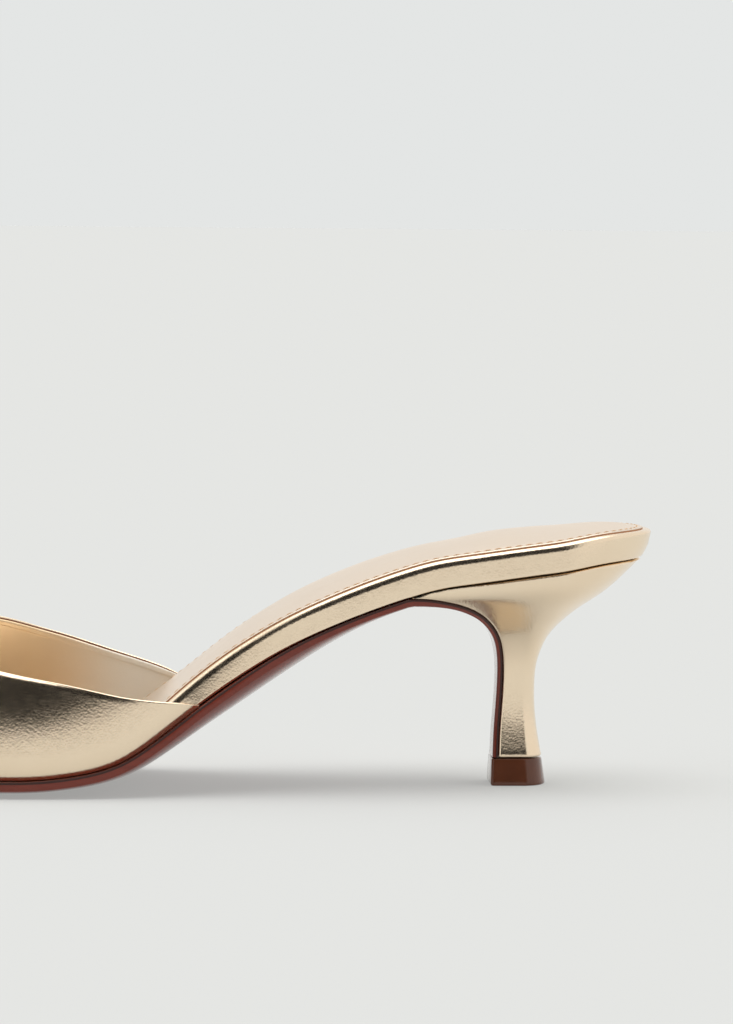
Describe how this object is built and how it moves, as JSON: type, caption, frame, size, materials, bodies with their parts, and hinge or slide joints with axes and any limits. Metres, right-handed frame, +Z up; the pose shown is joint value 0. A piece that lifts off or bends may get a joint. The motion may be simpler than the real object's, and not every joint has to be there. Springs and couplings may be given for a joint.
{
  "type": "kitten heel mule sandal",
  "caption": "Backless sandal with a closed low-cut gold leather vamp, a padded footbed with a covered edge, a thin leather outsole and a slim covered kitten heel.",
  "frame": {"origin": "middle of the top piece's floor face, under the heel", "axes": "+X towards the heel's back, -X towards the toe, -Y the outer side of the foot, +Z up from the floor"},
  "size_m": [0.2483, 0.0781, 0.0659],
  "materials": {
    "upper_leather": "metallic light gold leather, fine grain, soft gloss",
    "lining_leather": "metallic gold lining leather, satin",
    "rand_leather": "metallic light gold leather, fine grain, soft gloss",
    "sock_leather": "metallic gold leather over thin padding, satin",
    "heel_leather": "metallic light gold leather over a hard block, soft gloss",
    "outsole_leather": "polished dark brown leather",
    "top_piece_plastic": "dark brown hard plastic, satin",
    "thread": "tan sewing thread"
  },
  "bodies": {
    "root": {"upper": "upper_leather", "outsole": "outsole_leather", "insole": "rand_leather", "sock": "sock_leather", "heel": "heel_leather", "top_piece": "top_piece_plastic"}
  },
  "joints": []
}
